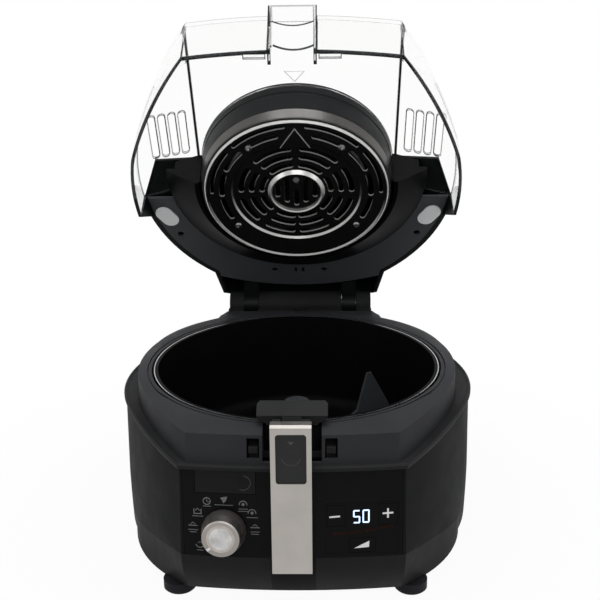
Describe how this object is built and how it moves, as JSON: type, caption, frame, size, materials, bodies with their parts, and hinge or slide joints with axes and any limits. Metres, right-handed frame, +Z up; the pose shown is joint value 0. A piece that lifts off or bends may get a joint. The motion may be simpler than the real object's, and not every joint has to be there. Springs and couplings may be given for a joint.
{
  "type": "multicooker",
  "caption": "Countertop hot-air multicooker: hinged clear lid with heater and fan, lift-out bowl with fold-out handle and stirring paddle, front dial, keys and display.",
  "frame": {"origin": "centre of the footprint of the whole cooker with its lid open, on the floor under the feet", "axes": "+Z up, +X to the right of someone facing the controls, front (controls, handle) at -Y"},
  "size_m": [0.333, 0.4043, 0.4856],
  "materials": {
    "charcoal_satin": "satin",
    "black_gloss": "gloss",
    "clear_plastic": "clear gloss",
    "smoked_window": "gloss",
    "silver_metal": "brushed",
    "silver_paint": "metallic satin",
    "black_enamel": "gloss enamel",
    "nonstick": "satin non-stick coat",
    "bright_steel": "satin",
    "polished": "polished",
    "aluminium": "as cast",
    "grey_pad": "matte",
    "foot_rubber": "matte",
    "white_mark": "matte",
    "paddle_plastic": "satin",
    "board": "matte",
    "zinc": "plated",
    "motor_steel": "satin"
  },
  "bodies": {
    "base": {"rubber_feet": "foot_rubber", "bottom_cover": "charcoal_satin", "bottom_cover_screws": "zinc", "lower_housing": "charcoal_satin", "cord_gland": "foot_rubber", "upper_housing": "black_gloss", "control_fascia": "black_gloss", "display_window": "smoked_window", "display_module": "black_gloss", "control_board": "board", "key_switches": "black_gloss", "selector_encoder": "zinc", "lip_trim": "charcoal_satin", "collar": "charcoal_satin", "bowl_well": "aluminium", "lower_heater_plate": "aluminium", "lower_element": "bright_steel", "thermostat": "zinc", "gearmotor": "motor_steel", "motor_frame": "bright_steel", "hinge_base": "charcoal_satin", "hinge_pin": "bright_steel"},
    "lid": {"clear_lid": "clear_plastic", "lid_hood": "black_gloss", "lid_ceiling": "charcoal_satin", "duct_cone": "black_gloss", "ceiling_pads": "grey_pad", "duct_drum": "black_enamel", "heat_reflector": "bright_steel", "guard_frame": "polished", "element_guard": "black_enamel", "guard_ring": "polished", "guard_screws": "zinc", "upper_element": "bright_steel", "fan_motor": "motor_steel", "top_cover": "black_gloss"},
    "fan": {"fan_impeller": "aluminium", "fan_shaft": "bright_steel", "fan_nut": "zinc"},
    "bowl_unit": {"bowl": "nonstick", "handle_bracket": "black_gloss", "handle_pin": "bright_steel"},
    "bowl_handle": {"handle": "charcoal_satin", "handle_cover": "silver_metal"},
    "grip_slider": {"handle_slider": "black_gloss"},
    "stirrer_shaft": {"drive_shaft": "bright_steel"},
    "stirrer_paddle": {"paddle": "paddle_plastic"},
    "programme_knob": {"selector_knob": "silver_paint", "knob_cap": "black_gloss", "knob_pointer": "white_mark"},
    "lid_push_button": {"lid_button": "black_gloss", "lid_latch": "charcoal_satin"},
    "key_minus": {"minus_key": "smoked_window"},
    "key_plus": {"plus_key": "smoked_window"},
    "key_level": {"power_level_key": "smoked_window"}
  },
  "joints": [
    {"name": "lid_hinge", "type": "hinge", "parent": "base", "child": "lid", "pos_m": [0, 0.1709, 0.163], "axis": [-1, 0, 0], "range_deg": [-59.6, 0], "stiffness_Nm_per_rad": 2.8, "springref_deg": 57.3},
    {"name": "fan_spin", "type": "hinge", "parent": "lid", "child": "fan", "pos_m": [0, 0.09448, 0.32686], "axis": [0, 0.8625, 0.506], "continuous": true},
    {"name": "bowl_lift", "type": "slide", "parent": "base", "child": "bowl_unit", "axis": [0, 0, 1], "range_m": [0, 0.03]},
    {"name": "handle_fold", "type": "hinge", "parent": "bowl_unit", "child": "bowl_handle", "pos_m": [0, -0.1751, 0.17], "axis": [-1, 0, 0], "range_deg": [0, 85]},
    {"name": "handle_slide", "type": "slide", "parent": "bowl_handle", "child": "grip_slider", "axis": [0, 0.0454, 0.999], "range_m": [0, 0.0035], "stiffness_N_per_m": 400, "springref_m": -0.002},
    {"name": "drive_spin", "type": "hinge", "parent": "base", "child": "stirrer_shaft", "pos_m": [0, -0.0121, 0.08], "axis": [0, 0, 1], "continuous": true},
    {"name": "paddle_spin", "type": "hinge", "parent": "bowl_unit", "child": "stirrer_paddle", "pos_m": [0, -0.0121, 0.1], "axis": [0, 0, 1], "continuous": true},
    {"name": "knob_turn", "type": "hinge", "parent": "base", "child": "programme_knob", "pos_m": [-0.0573, -0.17718, 0.0795], "axis": [0.0816, 0.9884, -0.1284], "range_deg": [0, 225]},
    {"name": "lid_button_press", "type": "hinge", "parent": "base", "child": "lid_push_button", "pos_m": [-0.07842, -0.16623, 0.12137], "axis": [0.0144, 0.1272, 0.9918], "range_deg": [0, 2.2], "stiffness_Nm_per_rad": 1.5, "springref_deg": -2.86},
    {"name": "key_minus_press", "type": "slide", "parent": "base", "child": "key_minus", "axis": [-0.0518, 0.9903, -0.1286], "range_m": [0, 0.0008], "stiffness_N_per_m": 900, "springref_m": -0.0006},
    {"name": "key_plus_press", "type": "slide", "parent": "base", "child": "key_plus", "axis": [-0.1126, 0.9854, -0.128], "range_m": [0, 0.0008], "stiffness_N_per_m": 900, "springref_m": -0.0006},
    {"name": "key_level_press", "type": "slide", "parent": "base", "child": "key_level", "axis": [-0.0826, 0.9883, -0.1284], "range_m": [0, 0.0008], "stiffness_N_per_m": 900, "springref_m": -0.0006}
  ],
  "couplings": [
    {"joint": "drive_spin", "follows": "paddle_spin", "ratio": 1}
  ]
}
